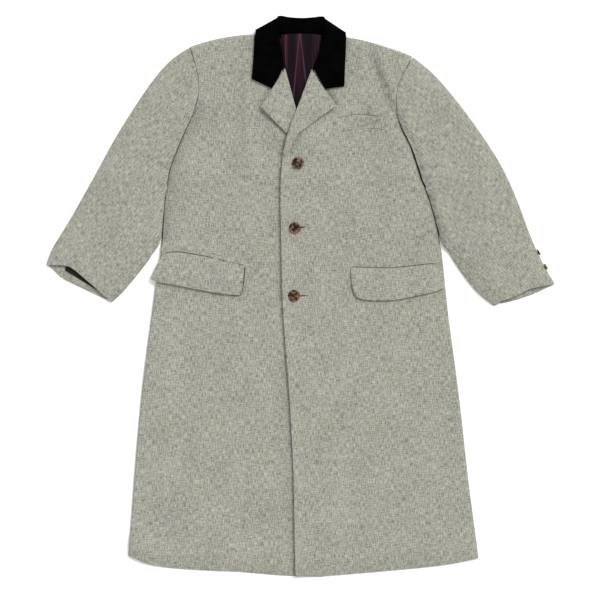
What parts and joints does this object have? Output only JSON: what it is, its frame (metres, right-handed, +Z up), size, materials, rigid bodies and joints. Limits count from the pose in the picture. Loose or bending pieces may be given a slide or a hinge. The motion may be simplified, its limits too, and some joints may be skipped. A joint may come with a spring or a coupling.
{
  "type": "laid overcoat",
  "caption": "Single-breasted grey tweed overcoat laid flat, fastened, with velvet collar, notched lapels, flap pockets, breast welt and two-piece sleeves.",
  "frame": {"origin": "on the surface that the coat lies on, under the middle of its outline", "axes": "+Y towards the collar, +X towards the wearer's left sleeve, +Z up, away from the surface"},
  "size_m": [1.0926, 1.2059, 0.0252],
  "materials": {
    "grey_tweed": "light grey wool tweed in a fine herringbone",
    "black_velvet": "black cotton velvet",
    "striped_lining": "dark satin lining in plum and charcoal stripes",
    "mottled_button": "polished mottled brown and amber, like tortoiseshell"
  },
  "bodies": {
    "root": {"back": "grey_tweed", "front_right": "grey_tweed", "front_left": "grey_tweed", "lapel_right": "grey_tweed", "lapel_left": "grey_tweed", "collar": "black_velvet", "neck_lining": "striped_lining", "sleeve_top_right": "grey_tweed", "sleeve_top_left": "grey_tweed", "sleeve_under_right": "grey_tweed", "sleeve_under_left": "grey_tweed", "flap_right": "grey_tweed", "flap_left": "grey_tweed", "breast_welt": "grey_tweed", "button_1": "mottled_button", "button_2": "mottled_button", "button_3": "mottled_button", "cuff_button_1": "mottled_button", "cuff_button_2": "mottled_button"}
  },
  "joints": []
}
